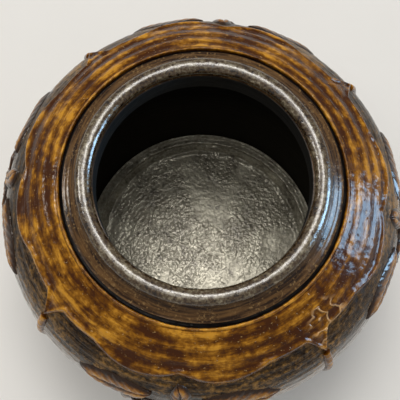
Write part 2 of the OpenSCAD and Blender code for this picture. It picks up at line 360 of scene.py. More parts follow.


# Gold where the glaze is thin, on crests and streaks, and dark brown where it is thick. The
# wrinkled one has a patch where it crept into branching ridges: where a noise is near its middle. The
# ridges' pale warm tint is a painted highlight.
def makeAmberGlaze(name="amberGlaze", pooling=0.85, bright=1.0, wrinkled=False):
    f = Finish(name, gloss=0.22)
    streak = f.streaks(20, 4.4, 3.0, 0.6, 0.6)
    cloud = f.grain(13, 3.0, 0.6)
    mottle = f.grain(3.0, 3.0, 0.65)
    fine = f.streaks(9, 1.4, 2.0, 0.6)
    thick = (streak - 0.5) * 1.15 + (cloud - 0.5) * 1.35 + (mottle - 0.5) * 0.9 + (fine - 0.5) * 0.55
    thick = f.clamp(thick + (0.5 - f.crest) * pooling + 0.56)
    gold = tuple(c * bright for c in (0.52, 0.245, 0.022))
    colour = f.ramp(thick, (0.04, gold), (0.36, (0.245, 0.098, 0.005)),
                    (0.60, (0.116, 0.040, 0.001)), (0.86, (0.050, 0.013, 0.001)))
    speck = f.between(f.grain(1.3, 1.0), 0.68, 0.78)
    colour = f.mix(speck * 0.5, colour, (0.55, 0.36, 0.14))
    blister = f.between(f.grain(2.6, 1.0), 0.70, 0.80)
    height = f.grain(3.4) * 0.8 + f.streaks(14, 2.0) * 0.5 + blister * 0.9
    if wrinkled:
        dx, dy = f.x - glaze["wrinkleAt"][0] * mm, f.y - glaze["wrinkleAt"][1] * mm
        near = 1.0 - f.past((dx * dx + dy * dy) ** 0.5, glaze["wrinkleR"])
        fold = f.math("ABSOLUTE", f.grain(9.0, 1.5) - 0.5)
        ridge = (1.0 - f.between(fold, 0.012, 0.060)) * near
        # Painted highlight: the raised ridges are tinted pale warm to show the warm highlight in which the
        # crawled glaze appears.
        colour = f.mix(ridge * 0.75, colour, (0.74, 0.45, 0.20))
        height = height + ridge * 2.2
    return f.paint(colour, 0.12 + mottle * 0.16, height, 0.36)


# Brown streaks with pale flecks in patches, and near-black on the inside, where there is no coat: dark glaze
# darkened further as painted shade.
def makeNeckGlaze():
    f = Finish("neckGlaze", gloss=0.25)
    cloud = f.grain(11, 3.0, 0.6)
    fleck = f.between(f.grain(1.5, 3.0, 0.6), 0.54, 0.66)
    streak = f.streaks(26, 2.2, 3.0, 0.6)
    brown = f.ramp(streak, (0.38, (0.018, 0.007, 0.002)), (0.62, (0.115, 0.058, 0.018)))
    colour = f.mix(fleck * f.between(cloud, 0.36, 0.56), brown, (0.20, 0.120, 0.045))
    # Painted shade: the inside of the throat is dark glaze darkened to near-black for the shade inside the
    # mouth.
    colour = f.mix(f.inside, colour, glaze["shadeBlack"])
    height = f.grain(2.5) * 0.6 + f.streaks(40, 1.2) * 0.5
    return f.paint(colour, 0.14 + cloud * 0.2 + f.inside * 0.45, height, 0.2, coat=0.1 - f.inside * 0.1)


# Mottled dark brown and buff with dark specks, and pale along the crest: partly worn glaze and partly a
# painted highlight.
def makeLipGlaze():
    f = Finish("lipGlaze", gloss=0.75)
    cloud = f.grain(9, 3.0, 0.6)
    fine = f.grain(1.8, 3.0, 0.65)
    base = f.ramp(fine * 0.6 + cloud * 0.4, (0.40, (0.012, 0.008, 0.005)), (0.48, (0.060, 0.034, 0.014)),
                  (0.55, (0.095, 0.074, 0.044)), (0.66, (0.26, 0.215, 0.140)))
    # Pale crest band: partly wear and partly a painted highlight of the overhead light on the roll.
    wornAndHighlight = f.between(f.crest, 0.965, 1.0) * f.between(f.grain(5.0, 3.0, 0.7), 0.42, 0.64)
    colour = f.mix(wornAndHighlight * 0.6, base, (0.42, 0.385, 0.30))
    speck = f.between(f.grain(1.4), 0.63, 0.70)
    colour = f.mix(speck * 0.85, colour, (0.024, 0.015, 0.010))
    return f.paint(colour, 0.03 + f.grain(3.0, 3.0, 0.7) * 0.26, fine * 0.9 + cloud * 0.5, 0.20)


# Pale stone colour with dark spots, brown on the rim and bare clay on the underside. Its wet
# shine is an orange peel with smoother patches, shiniest in a ring beside the wall.
def makeFloorGlaze():
    f = Finish("interiorGlaze", gloss=0.7)
    cloud = f.grain(22, 3.0, 0.55)
    peel = f.grain(2.1, 2.0, 0.55)
    colour = f.ramp(cloud * 0.6 + peel * 0.4, (0.34, (0.22, 0.200, 0.150)), (0.50, (0.47, 0.435, 0.335)),
                    (0.64, (0.72, 0.680, 0.540)))
    colour = f.mix(f.between(f.grain(7), 0.60, 0.74) * 0.6, colour, (0.070, 0.056, 0.040))
    colour = f.mix(f.inside, colour, (0.055, 0.027, 0.012))
    colour = f.mix(1.0 - f.past(f.z, glaze["undersideZ"]), colour, (0.27, 0.155, 0.09))
    smoothPatch = f.between(f.grain(30, 1.0), 0.52, 0.66)
    height = (f.grain(2.6, 1.0) + f.grain(1.5, 1.0) * 0.3) * (1.0 - smoothPatch * 0.55)
    roughness = 0.27 + smoothPatch * 0.12 - f.past(f.radius(), glaze["wetR"]) * 0.16
    return f.paint(colour, roughness, height, 0.9, metallic=0.12 + cloud * 0.15)


# Rough dark olive ground in the panels, brown with amber breaks below the band, and near-black painted
# shade in the neck's groove. Inside it is painted shade: dark brown low down, where light through the
# mouth falls, and near-black above. It is dry, with no coat, on the inside and on the shoulder.
def makeBodyGlaze():
    f = Finish("bodyGlaze", gloss=0.12)
    cloud = f.grain(18, 3.0, 0.6)
    fine = f.grain(2.2, 3.0, 0.65)
    run = f.streaks(34, 2.0, 3.0, 0.6)
    olive = f.ramp(fine * 0.55 + cloud * 0.2 + f.crest * 0.3, (0.42, (0.010, 0.004, 0.001)),
                   (0.53, (0.062, 0.032, 0.008)), (0.68, (0.300, 0.160, 0.040)))
    brown = f.ramp(run * 0.5 + cloud * 0.35 + f.crest * 0.2, (0.38, (0.018, 0.011, 0.008)),
                   (0.54, (0.060, 0.028, 0.011)), (0.72, (0.190, 0.088, 0.020)))
    colour = f.mix(f.past(f.z, glaze["panelZ"]), brown, olive)
    # Painted shade: the narrow groove beside the neck's foot is coloured near-black for the shade that falls
    # into it.
    colour = f.mix(f.past(f.z, glaze["grooveZ"]), colour, glaze["grooveShadeBlack"])
    # Painted shade inside: dark brown low down, where light through the mouth reaches, darkening to
    # near-black higher up.
    shadedLining = f.mix(f.past(f.z, glaze["liningShadeZ"]), (0.022, 0.019, 0.013), glaze["shadeBlack"])
    colour = f.mix(f.inside, colour, shadedLining)
    height = f.grain(1.7, 3.0, 0.6) * 0.7 + f.streaks(30, 1.6) * 1.1
    dry = f.past(f.z, glaze["dryZ"])
    return f.paint(colour, 0.10 + fine * 0.16 + f.inside * 0.45 + dry * 0.12, height, 0.40,
                   coat=f.clamp(0.8 - f.inside * 0.8 - dry * 0.8))


# Amber on the crests of the leaves and petals, dark brown where it pools between them.
def makeReliefGlaze():
    f = Finish("reliefGlaze", gloss=0.35)
    cloud = f.grain(8, 3.0, 0.6)
    fine = f.grain(1.8, 3.0, 0.65)
    thick = f.clamp((0.55 - f.crest) * 1.15 + (cloud - 0.5) * 0.9 + (fine - 0.5) * 0.7 + 0.36)
    colour = f.ramp(thick, (0.10, (0.46, 0.215, 0.022)), (0.38, (0.250, 0.100, 0.010)),
                    (0.62, (0.100, 0.036, 0.004)), (0.88, (0.024, 0.010, 0.004)))
    return f.paint(colour, 0.14 + fine * 0.2, fine * 0.5 + f.grain(3.0) * 0.5, 0.25, coat=0.15)


def makeBareClay():
    f = Finish("bareClay")
    cloud = f.grain(16, 3.0, 0.6)
    grit = f.grain(0.9, 2.0, 0.7)
    colour = f.ramp(cloud * 0.5 + grit * 0.5, (0.36, (0.15, 0.080, 0.045)), (0.52, (0.27, 0.155, 0.090)),
                    (0.68, (0.40, 0.27, 0.17)))
    return f.paint(colour, 0.72 + grit * 0.2, grit + f.grain(3.0) * 0.5, 0.3)


amberGlaze = makeAmberGlaze(wrinkled=True)
edgeGlaze = makeAmberGlaze("beadGlaze", pooling=0.5, bright=1.1)
neckGlaze = makeNeckGlaze()
lipGlaze = makeLipGlaze()
floorGlaze = makeFloorGlaze()
bodyGlaze = makeBodyGlaze()
reliefGlaze = makeReliefGlaze()
bareClay = makeBareClay()
print("glazes mixed")

# Walls. In every dictionary below, lumps are rows of (size, seed, height) for the noise.
walls = dict(turns=720, rowStep=0.85, innerStep=2.4, ringPitch=6.4, ringRise=0.12, patchSize=25,
             innerPitch=9.0, innerRingRise=0.08, crestSpan=0.9, innerLumps=[(20, 5, 0.4)],
             lumps=[(34, 1, 0.35), (3.6, 2, 0.20), (1.9, 3, 0.10)])


def outerRise(base, angle):  # throwing rings, a hand's unevenness and the ground's small lumps
    s = lengthAtZ(np.minimum(base[..., 2], form["neckSeatZ"]))
    rings = throwingRings(s, angle, walls["ringPitch"]) * walls["ringRise"]
    return rings * (0.7 + 0.3 * noise(base, walls["patchSize"], 4)) + lumps(base, walls["lumps"])


def innerRise(base, angle):
    rings = throwingRings(base[..., 2], angle, walls["innerPitch"]) * walls["innerRingRise"]
    return rings + lumps(base, walls["innerLumps"])


# A wall's profile runs up its outer face, over the step at its top, down its inner face and
# back by the step at its foot. outerS and innerS are lengths along the curve.
def makeWall(name, outerS, innerS, topStep, lowStep):
    outer = offsetPoints(join([np.arange(outerS[0], outerS[1], walls["rowStep"]), outerS[1:]]), 0)
    count = int((innerS[0] - innerS[1]) / walls["innerStep"])
    inner = offsetPoints(np.linspace(innerS[0], innerS[1], count), -form["wall"])
    steps = [np.array(step, float).reshape(-1, 2) for step in (topStep, lowStep)]
    loop = join([outer, steps[0], inner, steps[1]])
    row, innerStart = np.arange(len(loop)), len(outer) + len(steps[0])
    outerRows = row < len(outer)
    innerRows = (row >= innerStart) & (row < innerStart + len(inner))

    def riseOf(base, angle):
        rise = np.zeros(base.shape[:2])
        rise[outerRows] = outerRise(base[outerRows], angle)
        rise[innerRows] = innerRise(base[innerRows], angle)
        return rise

    grid, rise = revolve(loop, riseOf, walls["turns"])
    shell = (grid, crestOf(rise, walls["crestSpan"]), ~outerRows[:, None], True)
    makePiece(name, [shell], bodyGlaze)


# The upright face of a seam's step: half the slip's film inside (-1) or outside (1) the middle
# of the wall's thickness.
def seamStep(z, side):
    r = outerR(z) - wallT / 2 + side * form["film"] / 2
    return [[r, z], [r, z + tongue]]


tongue, wallT, floorZ, footH = [form[key] for key in ("tongue", "wall", "floorZ", "footH")]
lowZ, highZ = form["lowerSeam"], form["upperSeam"]
makeWall("lower_wall",
         (lengthAtZ(floorZ), lengthAtZ(lowZ)),
         (lengthAtZ(lowZ + tongue, -wallT), lengthAtZ(floorZ, -wallT)), seamStep(lowZ, -1), [])
makeWall("belly_wall",
         (lengthAtZ(lowZ), lengthAtZ(highZ)),
         (lengthAtZ(highZ + tongue, -wallT), lengthAtZ(lowZ + tongue, -wallT)),
         seamStep(highZ, -1), seamStep(lowZ, 1)[::-1])
makeWall("shoulder_wall",
         (lengthAtZ(highZ), lengthAtR(form["neckSeatR"])),
         (lengthAtR(form["holeR"], -wallT), lengthAtZ(highZ + tongue, -wallT)),
         [[form["holeR"], form["neckSeatZ"]]], seamStep(highZ, 1)[::-1])
print("walls thrown")

# Foot and floor. An inset is how far inside the floor's rim something lies.
foot = dict(width=13.0, bevel=1.5, turns=480, step=0.9, flatLow=0.6, flatHigh=0.3,
            lumps=[(12, 6, 0.25), (2.5, 7, 0.12)])
floor = dict(turns=640, rowStep=0.72, surfaceInset=7.0, ledgeInset=4.0, rimGlazeInset=5.0,
             waistInset=2.5, waistZ=12.0, underStart=2.0, underEnd=1.5, underRows=24,
             peel=0.15, peelSize=2.6, patchSize=24, swell=0.22, swellSize=15, dip=0.8, dipR=26.0,
             spiralRise=0.06, spiralPitch=11.0, spiralFade=20.0, wetRise=1.3, wetR=74.6, wetWidth=1.6,
             wetSize=6)
coil = dict(radius=7.0, outset=1.2, rows=44, turns=600, ridges=2, ridgeRise=1.0,
            root=[(1.6, 3.0), (0.0, 0.0), (-4.0, 0.0)], lumps=[(4.5, 11, 0.75), (2.0, 12, 0.35)])

footOuter, footInner = form["footR"], form["footR"] - foot["width"]
footLoop = densify([
    [footInner, foot["bevel"]], [footInner + foot["bevel"], 0], [footOuter - foot["bevel"], 0],
    [footOuter, foot["bevel"]], [footOuter, footH], [footInner, footH]], foot["step"])


def footRise(base, angle):  # worn on its sides, flat below and on top
    side = (base[..., 2] > foot["flatLow"]) & (base[..., 2] < footH - foot["flatHigh"])
    return np.where(side, lumps(base, foot["lumps"]), 0)


grid, rise = revolve(footLoop, footRise, foot["turns"])
makePiece("foot_ring", [(grid, crestOf(rise), False, True)], bareClay)

# The slab's profile runs from the axis over the floor, down its rim and back to the axis. Only
# the floor and the underside have normals, straight up and down, so only they rise.
rimR = outerR(floorZ)
topR = np.arange(floor["rowStep"], rimR - floor["surfaceInset"], floor["rowStep"])
underR = np.linspace(footInner - floor["underStart"], floor["underEnd"], floor["underRows"])
slabCorners = [[rimR - floor["ledgeInset"], floorZ], [rimR, floorZ],
               [rimR - floor["waistInset"], floor["waistZ"]], [footOuter, footH], [footInner, footH]]
slabLoop = join([
    np.stack([topR, np.full(len(topR), floorZ)], axis=1), slabCorners,
    np.stack([underR, np.full(len(underR), footH)], axis=1)])
slabNormals = np.zeros_like(slabLoop)
slabNormals[: len(topR), 1] = 1
slabNormals[len(topR) + len(slabCorners):, 1] = -1


# Orange peel in patches over a slow spiral and a swell, a dip in the middle, and a lumpy ring of
# glaze beside the wall.
def slabRise(base, angle):
    f = floor
    r = np.hypot(base[..., 0], base[..., 1])
    peel = noise(base, f["peelSize"], 8) * f["peel"] * (0.55 + 0.45 * noise(base, f["patchSize"], 9))
    spiral = np.sin(fullTurn * (r / f["spiralPitch"] + angle / fullTurn)) * f["spiralRise"]
    spiral = spiral * np.clip(r / f["spiralFade"], 0, 1)
    wet = f["wetRise"] * hump(r - f["wetR"], f["wetWidth"]) * (1.0 + noise(base, f["wetSize"], 27))
    return peel + spiral - f["dip"] * hump(r, f["dipR"]) + noise(base, f["swellSize"], 10) * f["swell"] + wet


grid, rise = revolve(slabLoop, slabRise, floor["turns"], slabNormals)
rim = slabLoop[:, :1] > rimR - floor["rimGlazeInset"]
makePiece("base_disc", [(grid, crestOf(rise), rim, False)], floorGlaze)

# The corner coil bulges into the corner in wet ridges, one cosine wave each. Its root, as
# (outward, up) from the corner, stays plain.
cornerR = rimR - wallT
sweep = np.linspace(0, math.pi / 2, coil["rows"])
coilArc = np.stack([cornerR + coil["outset"] - (coil["radius"] + coil["outset"]) * np.cos(sweep),
                    floorZ + coil["radius"] * np.sin(sweep)], axis=1)
coilLoop = join([coilArc, [[cornerR + out, floorZ + up] for out, up in coil["root"]]])


def coilRise(base, angle):
    onArc, ridge = np.zeros((len(coilLoop), 1)), np.zeros((len(coilLoop), 1))
    onArc[: len(sweep), 0] = np.sin(sweep * 2) ** 0.5
    ridge[: len(sweep), 0] = coil["ridgeRise"] * np.cos(sweep * 4 * coil["ridges"])
    return (ridge + lumps(base, coil["lumps"])) * onArc


grid, rise = revolve(coilLoop, coilRise, coil["turns"])
makePiece("corner_coil", [(grid, crestOf(rise), False, True)], floorGlaze)
print("foot and floor made")

# Neck and lip
neck = dict(throatR=59.5, spigotH=6.0, footR=76.8, topR=68.6, height=8.5, edgeH=2.9, bow=0.7, turns=600,
            step=0.7, flareRows=16, hidden=0.4, throatGlaze=0.2, lineRise=0.09, lineTurn=5.2, lineSway=0.5,
            lumps=[(14, 13, 0.22), (3, 14, 0.07)])
lip = dict(width=9.0, height=7.9, sink=1.0, setBack=0.5, turns=720, rows=64,
           lumps=[(18, 15, 0.22), (4, 16, 0.09), (2, 17, 0.05)])

# The neck's profile starts at its spigot; its flare bows in by a sine.
seat = form["neckSeatZ"]
lipSeat, flareZ = seat + neck["height"], seat + neck["edgeH"]
flare = np.linspace(0, 1, neck["flareRows"])
bow = neck["bow"] * np.sin(math.pi * flare)
flarePoints = np.stack([neck["footR"] + (neck["topR"] - neck["footR"]) * flare - bow / 2,
                        flareZ + (lipSeat - flareZ) * flare - bow], axis=1)
spigotR = form["holeR"] - form["film"]
neckLoop = densify(join([
    [[neck["throatR"], seat - neck["spigotH"]], [spigotR, seat - neck["spigotH"]],
     [spigotR, seat], [neck["footR"], seat]],
    flarePoints, [[neck["throatR"], lipSeat]]]), neck["step"])


def neckRise(base, angle):  # lumps and fine turning lines, but not where the shoulder hides it
    lines = neck["lineRise"] * np.sin(base[..., 2] * neck["lineTurn"] + neck["lineSway"] * np.sin(3 * angle))
    return np.where(base[..., 2] > seat + neck["hidden"], lumps(base, neck["lumps"]) + lines, 0)


grid, rise = revolve(neckLoop, neckRise, neck["turns"])
throat = neckLoop[:, :1] < neck["throatR"] + neck["throatGlaze"]
makePiece("neck_ring", [(grid, crestOf(rise), throat, True)], neckGlaze)

# The lip is an oval roll, cut flat where it sits on the neck.
lipR = neck["throatR"] + lip["setBack"] + lip["width"] / 2
lipZ = lipSeat + lip["height"] / 2 - lip["sink"]
lipTurn = np.linspace(0, fullTurn, lip["rows"], endpoint=False)
lipLoop = np.stack([lipR + lip["width"] / 2 * np.cos(lipTurn),
                    np.maximum(lipZ + lip["height"] / 2 * np.sin(lipTurn), lipSeat)], axis=1)
grid, rise = revolve(lipLoop, lambda base, angle: lumps(base, lip["lumps"]), lip["turns"])
lipCrest = np.clip((grid[..., 2] - lipSeat) / (lip["height"] - lip["sink"]), 0, 1)
makePiece("rolled_lip", [(grid, lipCrest, False, True)], lipGlaze)
print("neck and lip made")

# Collar, bead and band. Hand waves are rows of (count round the jar, phase, share).
collar = dict(turns=1440, rows=42, edgeRows=16, edgeShare=0.1, innerR=81.1, thickness=2.2, sink=0.25,
              apexR=103.0, scallopH=4.8, scallopAngle=28.0, tipH=10.5, tipAngle=4.5, tipPower=1.4,
              handWobble=0.55, handWaves=[(3, 1, 0.4), (11, 0, 0.35), (23, 2, 0.25)],
              rimAt=1.5, rimRise=0.75, rimWidth=2.8, rimPatch=9, valleyAt=5.0, valley=0.35,
              valleyWidth=2.2, edgeRound=1.3, edgeFade=2.0, underInsets=(0.4, 2.0),
              ringPitch=6.6, ringRise=0.3, ringWobble=0.16, ringPatch=30, crestSpan=0.8,
              lumps=[(16, 19, 0.3), (4.5, 20, 0.16), (2.2, 21, 0.07)])
bead = dict(innerR=79.1, rows=14, turns=600, overlap=0.1, foot=0.1, height=2.95, roundness=0.6,
            sink=0.2, crestH=3.0, lumps=[(12, 23, 0.22), (3, 24, 0.1)])
band = dict(topZ=62.0, width=6.0, rise=2.9, roundness=0.7, rows=22, turns=1200, sink=0.6, crestH=3.2,
            crestDrop=0.1, marks=120, markRise=0.28, markPower=0.7, lumps=[(10, 25, 0.25)])


# Plan radius of the collar's edge: an apex over each panel's middle, a scallop as half a sine
# wave on each side of it, and a point between panels as a power of the angle.
def foliateR(angle):
    c = collar
    a = np.abs((np.degrees(angle) + 45) % 90 - 45)
    scallop = np.where(a < c["scallopAngle"], np.sin(np.pi * a / c["scallopAngle"]), 0)
    tip = np.clip((a - 45 + c["tipAngle"]) / c["tipAngle"], 0, 1) ** c["tipPower"]
    hand = sum(np.sin(count * angle + phase) * share for count, phase, share in c["handWaves"])
    return c["apexR"] + c["scallopH"] * scallop + c["tipH"] * tip + c["handWobble"] * hand


# Height over the shoulder at plan radius rho and offset h: the slope at rho shows where the
# normal that passes there starts, and h along that normal gives the height.
def overShoulder(rho, h):
    slope = wallAt(lengthAtR(rho))[2]
    _, z, _, nz = wallAt(lengthAtR(rho - h * slope))
    return z + h * nz


# The collar's rows run from its inner edge out over the top, closer in the last share of the
# way, and back underneath. gap is the distance from the edge.
def makeCollar():
    c = collar
    angle = turnSteps(c["turns"])[None, :]
    edgeR = foliateR(angle)
    fromEdge = join([np.linspace(1, 0, c["rows"])[:-1] * (1 - c["edgeShare"]) + c["edgeShare"],
                     np.linspace(c["edgeShare"], 0, c["edgeRows"])])[:, None]
    rho = edgeR - (edgeR - c["innerR"]) * fromEdge
    gap = edgeR - rho
    ring = join([np.cos(angle), np.sin(angle)])
    base = np.stack([rho * ring[0], rho * ring[1], np.zeros_like(rho)], axis=-1)
    rings = throwingRings(rho, angle, c["ringPitch"], c["ringWobble"]) * c["ringRise"]
    rings = rings * (0.6 + 0.4 * noise(base, c["ringPatch"], 18))
    hand = lumps(base, c["lumps"])
    rim = c["rimRise"] * hump(gap - c["rimAt"], c["rimWidth"] / 2)
    rim = rim * (0.8 + 0.5 * noise(base, c["rimPatch"], 22))
    valley = -c["valley"] * hump(gap - c["valleyAt"], c["valleyWidth"])
    rounding = np.sqrt(np.clip(1 - (1 - np.clip(gap / c["edgeRound"], 0, 1)) ** 2, 0, 1))
    fade = np.clip(gap / c["edgeFade"], 0.3, 1)
    top = (c["thickness"] + (rings + hand) * fade + rim + valley) * (0.05 + 0.95 * rounding)
    under = [edgeR - inset for inset in c["underInsets"]]
    under += [(edgeR + c["innerR"]) / 2, np.full_like(edgeR, c["innerR"])]
    rho = join([rho] + under)
    h = join([top] + [np.full_like(edgeR, -c["sink"])] * len(under))
    grid = np.stack([rho * ring[0], rho * ring[1], overShoulder(rho, h)], axis=-1)
    tone = 0.5 + (rings + hand + valley * 0.4) / c["crestSpan"] + rim * 0.25
    crest = np.clip(join([tone] + [np.zeros_like(edgeR)] * len(under)), 0, 1)
    makePiece("cloud_collar", [(grid, crest, False, True)], amberGlaze)


makeCollar()

beadTurn = np.linspace(0, math.pi, bead["rows"])
beadMid, beadHalf = (bead["innerR"] + collar["innerR"]) / 2, (collar["innerR"] - bead["innerR"]) / 2
beadRho = join([beadMid - (beadHalf + bead["overlap"]) * np.cos(beadTurn), [beadMid]])
beadH = join([bead["foot"] + bead["height"] * np.sin(beadTurn) ** bead["roundness"], [-bead["sink"]]])
beadLoop = np.stack([beadRho, overShoulder(beadRho, beadH)], axis=1)
grid, rise = revolve(beadLoop, lambda base, angle: lumps(base, bead["lumps"]), bead["turns"])
beadCrest = np.clip((beadH / bead["crestH"])[:, None] + rise, 0, 1)
makePiece("neck_bead", [(grid, beadCrest, False, True)], edgeGlaze)

bandSweep = np.linspace(0, math.pi, band["rows"])
bandS = lengthAtZ(band["topZ"] - band["width"] / 2) - np.cos(bandSweep) * band["width"] / 2
r, z, nr, nz = wallAt(join([bandS, [bandS.mean()]]))
bandH = join([band["rise"] * np.sin(bandSweep) ** band["roundness"], [-band["sink"]]])
bandLoop = np.stack([r + nr * bandH, z + nz * bandH], axis=1)


def bandRise(base, angle):  # pressed with a row of shallow finger marks, half a sine wave each
    marks = band["markRise"] * np.abs(np.sin(angle * band["marks"] / 2)) ** band["markPower"]
    return (marks + lumps(base, band["lumps"])) * np.clip(bandH / band["rise"], 0, 1)[:, None]


grid, rise = revolve(bandLoop, bandRise, band["turns"])
bandCrest = np.clip(bandH[:, None] / band["crestH"] + rise - band["crestDrop"], 0, 1)
makePiece("lower_band", [(grid, bandCrest, False, True)], amberGlaze)
print("collar and bands made")

# Relief
blossom = dict(z=127.0, petals=8, length=25.0, width=14.0, root=3.0, thickness=2.8, rows=44, bend=0.9,
               innerScale=(0.62, 0.68, 1.12), rim=0.45, rib=0.35, line=0.07, crestDrop=0.35)
seeds = dict(radius=7.5, thickness=3.6, rows=30, columns=72, edge=0.05, sink=0.4, tuck=0.9,
             dimple=0.22, crestDrop=0.1)
spray = dict(length=44.0, width=20.0, thickness=1.9, wreathR=32.0, stemW=4.4, stemL=27.0,
             highX=36.0, highRise=29.0, highTurn=97.0, lowX=21.5, lowDrop=39.0, lowTurn=66.0,
             budRise=34.0, budL=20.0, budW=12.0, budRows=40, budVeins=4, rows=84, columns=31, veins=8,
             sway=2.2, teeth=0.055, groove=0.55, chevron=0.17, leafDrop=0.45, stemDrop=0.3,
             stemColumns=13, wreathRows=160, stemRows=40, edge=2.4)
post = dict(width=5.4, thickness=2.3, rows=150, columns=17, belowBand=0.6, intoCollar=0.5, sink=0.4,
            crestH=2.6, crestDrop=0.1)
ridge = dict(columns=21, edge=5.0, sink=0.35, tuck=0.9)
panels = {"front": 0, "right": 90, "back": 180, "left": 270}
corners = {"front_right": -45, "back_right": 45, "back_left": 135, "front_left": -135}


# A point of a panel's drawing: x across, z up, h out from the wall; y follows from the radius there.
def onPanel(x, z, h, turn):
    r, _, nr, _ = wallAt(lengthAtZ(z))
    radius = r + h / np.maximum(nr, 0.3)
    y = -np.sqrt(np.maximum(radius**2 - x**2, 1))
    c, s = math.cos(turn), math.sin(turn)
    return np.stack([c * x - s * y, s * x + c * y, z], axis=-1)


def acrossSteps(columns):  # from -1 to 1 as a sine, so closer at both edges
    return np.sin(np.linspace(-math.pi / 2, math.pi / 2, columns))[None, :]


def tuckUnder(v, h, sink):  # two more columns that close a ridge under the wall's surface
    v = join([v, [[ridge["tuck"], -ridge["tuck"]]]], axis=1)
    return v, join([h, np.full((len(h), 2), -sink)], axis=1)


# A closed strip: along a path its section goes over the top, where the height is a function of
# u along and v across, and back under the wall's surface. It runs down at both ends.
def strip(path, halfWidth, heightOf, turn, columns=ridge["columns"], edge=ridge["edge"]):
    tangent = np.gradient(path, axis=0)
    tangent /= np.maximum(np.hypot(*tangent.T), 1e-9)[:, None]
    side = np.stack([tangent[:, 1], -tangent[:, 0]], axis=1)
    v = acrossSteps(columns)
    u = np.linspace(0, 1, len(path))[:, None]
    section = np.sqrt(np.clip(1 - np.abs(v) ** edge, 0, 1))
    ends = np.clip(4 * u * (1 - u) / 0.55, 0, 1) ** 0.45
    v, h = tuckUnder(v, heightOf(u, v) * section * (0.12 + 0.88 * ends), ridge["sink"])
    x = path[:, :1] + side[:, :1] * halfWidth[:, None] * v
    z = path[:, 1:] + side[:, 1:] * halfWidth[:, None] * v
    return onPanel(x, z, h, turn), h


def turned(points, angle, centre):  # angle is clockwise from upright
    c, s = math.cos(angle), math.sin(angle)
    return np.stack([centre[0] + c * points[:, 0] + s * points[:, 1],
                     centre[1] - s * points[:, 0] + c * points[:, 1]], axis=1)


def pointedOval(length, width, u):  # half width of the overlap of two circles, along its length
    radius = (length**2 + width**2) / (4 * width)
    y = (u - 0.5) * length
    return np.maximum(np.sqrt(np.maximum(radius**2 - y**2, 0)) - (radius - width / 2), 0.03)


# A ring of petals; shift turns it by that share of a petal's step.
def petalShells(turn, length, width, lift, shift):
    shells = []
    u = np.linspace(0, 1, blossom["rows"])

    def heightOf(u, v):  # raised rim, dished middle, a rib and fine lines that fan out
        rim = 0.75 + blossom["rim"] * np.abs(v) ** 2.2
        rib = blossom["rib"] * hump(v, 0.12) * (1 - u)
        lines = blossom["line"] * np.cos(v * 21) * (1 - 0.5 * u)
        curl = 0.75 + 0.5 * u - 0.25 * hump(u - 1, 0.08)
        return lift * (rim + rib + lines) * curl * 0.86

    for i in range(blossom["petals"]):
        bend = blossom["bend"] * math.sin(i * 2.4 + shift)
        straight = np.stack([bend * np.sin(math.pi * u), blossom["root"] + length * u], axis=1)
        path = turned(straight, fullTurn * (i + shift) / blossom["petals"], (0, blossom["z"]))
        halfWidth = pointedOval(length, width, u) * (1 + 0.03 * np.sin(u * 23 + i))
        grid, h = strip(path, halfWidth, heightOf, turn)
        shells.append((grid, reliefCrest(h, lift, blossom["crestDrop"]), False, False))
    return shells


# rise is the height of the leaf's middle over the blossom's. On the left it leans and sways the
# other way.
def leafShells(turn, x, rise, lean, length, width, veins=spray["veins"], rows=spray["rows"]):
    u = np.linspace(0, 1, rows)
    hand = np.sign(x or 1)
    sway = spray["sway"] * np.sin(math.pi * u) * hand
    path = turned(np.stack([sway, (u - 0.5) * length], axis=1), math.radians(lean) * hand,
                  (x, blossom["z"] + rise))
    teeth = 1 + spray["teeth"] * ((u * veins * 1.5) % 1.0) * np.sin(math.pi * u)

    def heightOf(u, v):  # a groove for the midrib, side veins as chevrons, edges that lift
        rib = -spray["groove"] * hump(v, 0.09)
        chevrons = spray["chevron"] * np.sin(fullTurn * (u * veins - np.abs(v) * 1.6))
        chevrons = chevrons * np.clip(np.abs(v) * 4, 0, 1)
        swell = 0.78 + 0.35 * np.sin(math.pi * np.abs(v)) + 0.12 * np.sin(fullTurn * u * 1.5)
        return spray["thickness"] * (swell + rib * 0.5 + chevrons * 0.5)

    grid, h = strip(path, pointedOval(length, width, u) * teeth, heightOf, turn,
                    columns=spray["columns"], edge=spray["edge"])
    return [(grid, reliefCrest(h, spray["thickness"], spray["leafDrop"]), False, False)]


def stemShells(turn, path, width):  # even, with blunt ends and slight swellings
    u = np.linspace(0, 1, len(path))
    taper = width / 2 * np.sqrt(np.clip(1 - (2 * u - 1) ** 12, 0.0004, 1)) * (1 + 0.1 * np.sin(u * 31))

    def heightOf(u, v):
        return spray["thickness"] * (0.75 + 0.25 * (1 - v**2) + 0.08 * np.sin(u * 47))

    grid, h = strip(path, taper, heightOf, turn, columns=spray["stemColumns"], edge=spray["edge"])
    return [(grid, reliefCrest(h, spray["thickness"], spray["stemDrop"]), False, False)]


# The seed head is a dome of rings, t from its edge to its middle, with small seeds pressed into
# it in spiral rows. Its first ring lies under the wall's surface.
def seedShell(turn):
    t = join([[seeds["tuck"]], np.linspace(1, 0.02, seeds["rows"])])[:, None]
    angle = turnSteps(seeds["columns"])[None, :]
    x = seeds["radius"] * t * np.cos(angle)
    z = blossom["z"] + seeds["radius"] * t * np.sin(angle)
    h = seeds["thickness"] * (0.72 + 0.28 * np.cos(t * 1.3)) * np.sqrt(np.clip(1 - t**8, 0, 1))
    h = h + seeds["dimple"] * np.cos(angle * 9 + t * 9) * np.cos(t * 19) * np.clip(1.2 - t, 0, 1)
    h[0], h[1] = -seeds["sink"], seeds["edge"]
    return [(onPanel(x, z, h, turn), reliefCrest(h, seeds["thickness"], seeds["crestDrop"]), False, False)]


def arcPath(radius, start, end, count, centreZ):  # angles clockwise from straight up, in degrees
    a = np.radians(np.linspace(start, end, count))
    return np.stack([radius * np.sin(a), centreZ + radius * np.cos(a)], axis=1)


